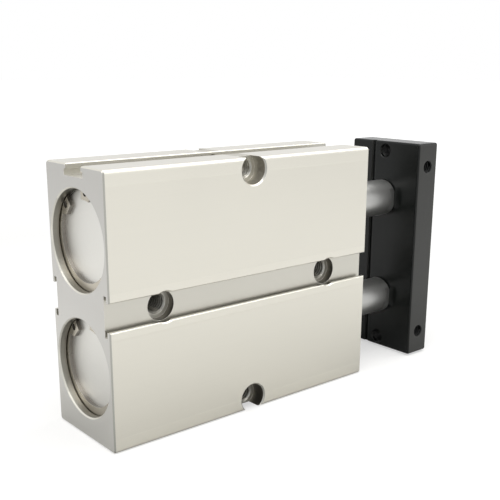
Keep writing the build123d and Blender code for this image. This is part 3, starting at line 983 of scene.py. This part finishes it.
@dataclass
class Thread:
    """The ridge of a tapped hole, which stands in from the hole's wall."""

    hole_radius: float
    pitch: float
    length: float
    height: float = 0.34
    crest_width: float = 0.16
    root_share: float = 0.86
    sink: float = 0.03
    steps: int = 32
    smooth_degrees: float = 40.0
    merge_distance: float = 0.0001

    def build(self, name: str) -> bpy.types.Object:
        """Model the ridge along +Z from the origin, its mouth at the top.

        Args:
            name: Name of the object.

        Returns:
            The ridge.
        """
        Bench.clear()
        turns = max(1, int(self.length / self.pitch) - 1)
        deep = self.height + self.sink
        middle = self.hole_radius + self.sink - deep / 2
        root_width = self.pitch * self.root_share
        bpy.ops.mesh.primitive_plane_add(size=1.0, rotation=(math.pi / 2, 0, 0))
        ridge = bpy.context.view_layer.objects.active
        ridge.name = ridge.data.name = name
        bpy.ops.object.transform_apply(rotation=True)
        bpy.ops.transform.resize(value=(deep * MM, 1.0, root_width * MM))
        bpy.ops.transform.translate(value=(middle * MM, 0.0, -(self.length - self.pitch / 2) * MM))
        bpy.ops.object.transform_apply(location=True, scale=True)
        Bench.mark(ridge, lambda place: place.x < middle * MM)
        bpy.ops.transform.resize(value=(1.0, 1.0, self.crest_width / root_width))
        bpy.ops.mesh.select_all(action="SELECT")
        bpy.ops.mesh.delete(type="ONLY_FACE")
        bpy.ops.object.mode_set(mode="OBJECT")
        bpy.ops.object.modifier_add(type="SCREW")
        screw = ridge.modifiers[-1]
        screw.axis = "Z"
        screw.steps = screw.render_steps = self.steps
        screw.iterations = turns
        screw.screw_offset = self.pitch * MM
        bpy.ops.object.modifier_apply(modifier=screw.name)
        bpy.ops.object.mode_set(mode="EDIT")
        bpy.ops.mesh.select_all(action="SELECT")
        bpy.ops.mesh.remove_doubles(threshold=self.merge_distance * MM)
        bpy.ops.mesh.select_all(action="DESELECT")
        bpy.ops.mesh.select_non_manifold(extend=False)
        bpy.ops.mesh.fill_holes(sides=0)
        bpy.ops.mesh.select_all(action="SELECT")
        bpy.ops.mesh.normals_make_consistent(inside=False)
        bpy.ops.object.mode_set(mode="OBJECT")
        Bench.smooth(ridge, self.smooth_degrees)
        return ridge

    def fit(
        self, pattern: bpy.types.Object, name: str, mouth: Vector, way_out: Axis, body: str, slot: str
    ) -> None:
        """Set a copy of the ridge in one hole.

        Args:
            pattern: The ridge that is copied.
            name: Name of the piece.
            mouth: Middle of the hole's mouth, in metres.
            way_out: Direction out of the hole.
            body: Body that it rides on.
            slot: The record's material slot.
        """
        piece = Bench.copy(pattern, name)
        Bench.put(piece, way_out.facing(mouth))
        dress(piece, slot)
        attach(piece, body)
        log.info("%s: thread of %.1f mm in %s", name, self.length, body)


# ---------------------------------------------------------------- the object


class Assembly:
    """One body of the record, with the nodes and new pieces that ride on it."""

    name = "assembly"

    def dress_nodes(self) -> None:
        """Give every node of this body the finish of its slot."""
        slots = {item["node"]: item["material_slot"] for item in frame["record"]["subparts"]}
        for node in frame["record"]["behaviour"]["bodies"][self.name]:
            for place in frame["nodes"][node].material_slots:
                place.material = FINISHES[slots[node]].material()
            log.info("%s: %s", node, slots[node])

    def build(self) -> None:
        """Model the new pieces of this body."""
        raise NotImplementedError


@dataclass
class Housing(Assembly):
    """Body with its covers, guides, rings and seals."""

    side_pocket_floor: float = 13.25
    side_thread: Thread = field(default_factory=lambda: Thread(3.4, pitch=1.25, length=10.0))
    edge_thread: Thread = field(default_factory=lambda: Thread(3.4, pitch=1.25, length=5.0))
    port_thread: Thread = field(default_factory=lambda: Thread(4.3, pitch=0.907, length=7.4, height=0.36))
    name: str = "housing"

    def build(self) -> None:
        """Model the threads of the mounting holes and of the ports."""
        self.build_hole_threads()
        self.build_port_threads()

    def build_hole_threads(self) -> None:
        """Model the threads that open into both sides of the mounting holes."""
        (x, z), reach, rise = across_holes()
        groups = (
            (self.side_thread, {"rear": (x - reach, z), "front": (x + reach, z)}),
            (self.edge_thread, {"bottom": (x, z - rise), "top": (x, z + rise)}),
        )
        for thread, places in groups:
            pattern = thread.build("thread_pattern")
            for place, (hole_x, hole_z) in places.items():
                for way_out in (Axis.FRONT, Axis.BACK):
                    mouth = Vector((hole_x, way_out.value[1] * self.side_pocket_floor * MM, hole_z))
                    label = f"{place}_hole_{way_out.name.lower()}_thread"
                    thread.fit(pattern, label, mouth, way_out, self.name, "body_aluminium")
            bpy.data.objects.remove(pattern)

    def build_port_threads(self) -> None:
        """Model the threads of the two ports."""
        pattern = self.port_thread.build("thread_pattern")
        for place in ("rear_port", "front_port"):
            item = mount(place)
            mouth = Vector(item["pos_m"]) - Vector((0, 0, item["dims"]["length_mm"] / 2 * MM))
            self.port_thread.fit(pattern, f"{place}_thread", mouth, Axis.DOWN, self.name, "body_aluminium")
        bpy.data.objects.remove(pattern)


@dataclass
class Carriage(Assembly):
    """Rods, pistons and the end plate with its screws."""

    face_thread: Thread = field(default_factory=lambda: Thread(3.0, pitch=1.0, length=11.9, height=0.28))
    side_thread: Thread = field(default_factory=lambda: Thread(2.5, pitch=1.0, length=11.4, height=0.28))
    plate_thickness: float = 12.6
    hole_break: float = 0.3
    knurl_ridges: int = 44
    knurl_radius: float = 6.6
    knurl_valley: float = 6.44
    knurl_inner: float = 6.2
    knurl_top: float = 1.1
    knurl_length: float = 5.6
    name: str = "carriage"

    def build(self) -> None:
        """Model the threads of the plate and the knurls of its screws."""
        self.build_face_threads()
        self.build_side_threads()
        self.build_knurls()

    def build_face_threads(self) -> None:
        """Model the threads of the two holes through the plate."""
        pattern = self.face_thread.build("thread_pattern")
        item = mount("plate_face_holes")
        x, y, z = item["pos_m"]
        rise = item["dims"]["spacing_y_mm"] / 2 * MM
        inner_x = x - (self.plate_thickness / 2 - self.hole_break) * MM
        for place, height in (("lower", z - rise), ("upper", z + rise)):
            mouth = Vector((inner_x, y, height))
            label = f"{place}_plate_hole_thread"
            self.face_thread.fit(pattern, label, mouth, Axis.INWARD, self.name, "plate_black")
        bpy.data.objects.remove(pattern)

    def build_side_threads(self) -> None:
        """Model the threads of the four holes in the narrow sides of the plate."""
        pattern = self.side_thread.build("thread_pattern")
        for side, way_out in (("front", Axis.FRONT), ("back", Axis.BACK)):
            for level in ("lower", "upper"):
                item = mount(f"plate_{side}_{level}_side_hole")
                reach = Vector(way_out.value) * (item["dims"]["length_mm"] / 2 * MM)
                label = f"{level}_plate_{side}_thread"
                mouth = Vector(item["pos_m"]) + reach
                self.side_thread.fit(pattern, label, mouth, way_out, self.name, "plate_black")
        bpy.data.objects.remove(pattern)

    def build_knurls(self) -> None:
        """Model the knurled rim of each screw head in the plate."""
        pattern = self.knurl("knurl_pattern")
        for level in ("lower", "upper"):
            low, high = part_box(f"{level}_plate_screw")
            middle = (low + high) / 2
            piece = Bench.copy(pattern, f"{level}_plate_screw_knurl")
            Bench.put(piece, Axis.OUTWARD.facing(Vector((high.x, middle.y, middle.z))))
            dress(piece, "screw_steel")
            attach(piece, self.name)
            log.info("%s: %d ridges", piece.name, self.knurl_ridges)
        bpy.data.objects.remove(pattern)

    def knurl(self, name: str) -> bpy.types.Object:
        """Model a knurled ring below the origin, about Z.

        Args:
            name: Name of the object.

        Returns:
            The ring.
        """
        Bench.clear()
        centre = -(self.knurl_top + self.knurl_length / 2) * MM
        bpy.ops.mesh.primitive_cylinder_add(
            vertices=2 * self.knurl_ridges, radius=self.knurl_radius * MM, depth=self.knurl_length * MM,
            end_fill_type="NGON", location=(0, 0, centre),
        )
        ring = bpy.context.view_layer.objects.active
        ring.name = ring.data.name = name
        bpy.ops.object.transform_apply(location=True)
        step = math.pi / self.knurl_ridges

        def in_valley(place: Vector) -> bool:
            """Whether a vertex lies in a valley of the knurl."""
            return round(math.atan2(place.y, place.x) / step) % 2 == 1

        Bench.mark(ring, in_valley)
        share = self.knurl_valley / self.knurl_radius
        bpy.ops.transform.resize(value=(share, share, 1.0), center_override=(0, 0, 0))
        bpy.ops.mesh.select_mode(type="FACE")
        bpy.ops.mesh.select_all(action="DESELECT")
        bpy.ops.object.mode_set(mode="OBJECT")
        for face in ring.data.polygons:
            face.select = abs(face.normal.z) > LEANS
        bpy.ops.object.mode_set(mode="EDIT")
        bpy.ops.mesh.inset(thickness=(self.knurl_valley - self.knurl_inner) * MM)
        bpy.ops.mesh.bridge_edge_loops()
        bpy.ops.mesh.select_all(action="SELECT")
        bpy.ops.mesh.normals_make_consistent(inside=False)
        bpy.ops.object.mode_set(mode="OBJECT")
        return ring


# ---------------------------------------------------------------- studio


@dataclass(frozen=True)
class Lamp:
    """A soft box of the studio, round unless it has a depth."""

    name: str
    place: Triple
    size: float
    power: float
    colour: Colour = (1.0, 1.0, 1.0)
    depth: float = 0.0

    def light(self, target: Vector) -> None:
        """Hang the lamp and point it.

        Args:
            target: What it points at, in metres.
        """
        data = bpy.data.lights.new(self.name, "AREA")
        data.shape = "RECTANGLE" if self.depth else "DISK"
        data.size = self.size
        if self.depth:
            data.size_y = self.depth
        data.energy = self.power
        data.color = self.colour
        lamp = bpy.data.objects.new(self.name, data)
        lamp.location = self.place
        lamp.rotation_euler = (target - Vector(self.place)).to_track_quat("-Z", "Y").to_euler()
        bpy.context.scene.collection.objects.link(lamp)


@dataclass
class Studio:
    """Camera, floor, world and lamps. Lens and sensor are in millimetres, all else in metres."""

    camera_place: Triple = (-0.214882, -0.246543, 0.130116)
    camera_turn: Triple = (1.303361, -0.003874, -0.698427)
    lens: float = 58.942
    crop_rise: float = 0.0783
    sensor: float = 36.0
    floor_size: float = 12.0
    floor_drop: float = 0.00005
    floor_colour: Colour = (0.54, 0.54, 0.535)
    floor_glow: float = 0.52
    far_glow: float = 1.0
    far_reach: tuple[float, float] = (0.35, 1.1)
    # Painted shadow: the floor's glow in reflections, which fades to nothing near the cylinder's footprint
    # within this reach.
    mirror_glow: float = 0.54
    mirror_shadow_reach: tuple[float, float] = (-0.01, 0.12)
    world_colour: Colour = (1.0, 1.0, 1.0)
    world_light: float = 0.35
    lamps: tuple[Lamp, ...] = (
        Lamp("long_lamp", (0.0, -0.12, 0.75), size=1.6, power=7.5, colour=(1.0, 0.995, 0.98), depth=0.6),
        Lamp("key_lamp", (0.10, -0.75, 0.50), size=0.60, power=0.8, colour=(1.0, 0.985, 0.95)),
    )

    def set_camera(self) -> None:
        """Set the camera where the photograph was taken from."""
        data = bpy.data.cameras.new("camera")
        data.sensor_width = self.sensor
        data.sensor_fit = "HORIZONTAL"
        data.lens = self.lens
        data.shift_y = self.crop_rise
        camera = bpy.data.objects.new("camera", data)
        camera.location = self.camera_place
        camera.rotation_euler = self.camera_turn
        bpy.context.scene.collection.objects.link(camera)
        bpy.context.scene.camera = camera

    def set_world(self) -> None:
        """Make a world that shows white and lights softly."""
        world = bpy.data.worlds.new("studio")
        world.use_nodes = True
        bpy.context.scene.world = world
        graph = Graph(world.node_tree)
        path = graph.add("ShaderNodeLightPath")
        seen = graph.math("MAXIMUM", path.outputs["Is Camera Ray"], path.outputs["Is Glossy Ray"])
        seen = graph.math("MAXIMUM", seen, path.outputs["Is Transmission Ray"])
        back = world.node_tree.nodes["Background"]
        graph.feed(back.inputs["Color"], self.world_colour)
        graph.feed(back.inputs["Strength"], graph.spread(seen, 0.0, 1.0, self.world_light, 1.0))

    def lay_floor(self) -> None:
        """Lay a pale floor that looks white and keeps the shadow, with a painted shadow about the cylinder
        in reflections.
        """
        Bench.clear()
        bpy.ops.mesh.primitive_plane_add(size=self.floor_size, location=(0, 0, -self.floor_drop))
        floor = bpy.context.view_layer.objects.active
        floor.name = "floor"
        made = bpy.data.materials.new("floor_paper")
        made.use_nodes = True
        graph = Graph(made.node_tree)
        made.node_tree.nodes.remove(made.node_tree.nodes["Principled BSDF"])
        plain = graph.add("ShaderNodeBsdfDiffuse")
        graph.feed(plain.inputs["Color"], self.floor_colour)
        glow = graph.add("ShaderNodeEmission")
        path = graph.add("ShaderNodeLightPath")
        mirrored = graph.math("MAXIMUM", path.outputs["Is Glossy Ray"], path.outputs["Is Transmission Ray"])
        away = graph.add("ShaderNodeVectorMath", operation="LENGTH")
        graph.feed(away.inputs[0], graph.place())
        seen = graph.spread(away.outputs["Value"], *self.far_reach, self.floor_glow, self.far_glow)
        seen = graph.times(path.outputs["Is Camera Ray"], seen)
        # Painted shadow: in reflections the floor's glow fades to nothing near the cylinder's footprint.
        mirror_glow = graph.spread(self.aside(graph), *self.mirror_shadow_reach, 0.0, self.mirror_glow)
        mirrored = graph.times(mirrored, mirror_glow)
        graph.feed(glow.inputs["Strength"], graph.math("MAXIMUM", seen, mirrored))
        both = graph.add("ShaderNodeAddShader")
        graph.feed(both.inputs[0], plain.outputs[0])
        graph.feed(both.inputs[1], glow.outputs[0])
        through = graph.add("ShaderNodeBsdfTransparent")
        sided = graph.add("ShaderNodeMixShader")
        graph.feed(sided.inputs[0], graph.add("ShaderNodeNewGeometry").outputs["Backfacing"])
        graph.feed(sided.inputs[1], both.outputs[0])
        graph.feed(sided.inputs[2], through.outputs[0])
        graph.feed(made.node_tree.nodes["Material Output"].inputs["Surface"], sided.outputs[0])
        floor.data.materials.append(made)

    def aside(self, graph: Graph) -> bpy.types.NodeSocket:
        """Return how far a place on the floor is from the cylinder's footprint.

        Args:
            graph: The floor's tree.

        Returns:
            The distance, in metres.
        """
        high = CAD_BOX[1]
        x, y, _ = graph.parts_of(graph.place())
        past_x = graph.math("MAXIMUM", graph.math("SUBTRACT", graph.math("ABSOLUTE", x), high.x), 0.0)
        past_y = graph.math("MAXIMUM", graph.math("SUBTRACT", graph.math("ABSOLUTE", y), high.y), 0.0)
        return graph.length(past_x, past_y)

    def light(self) -> None:
        """Hang all lamps."""
        low, high = CAD_BOX
        for lamp in self.lamps:
            lamp.light((low + high) / 2)

    def build(self) -> None:
        """Set up the whole studio."""
        bpy.context.scene.view_settings.view_transform = "Standard"
        self.set_camera()
        self.set_world()
        self.lay_floor()
        self.light()
        log.info("studio: %d lamps", len(self.lamps))


def main() -> None:
    """Build and dress the cylinder, then set the studio around it."""
    logging.basicConfig(level=logging.INFO, format="%(message)s")
    for assembly in (Housing(), Carriage()):
        assembly.dress_nodes()
        assembly.build()
    Studio().build()


if __name__ == "__main__":
    main()
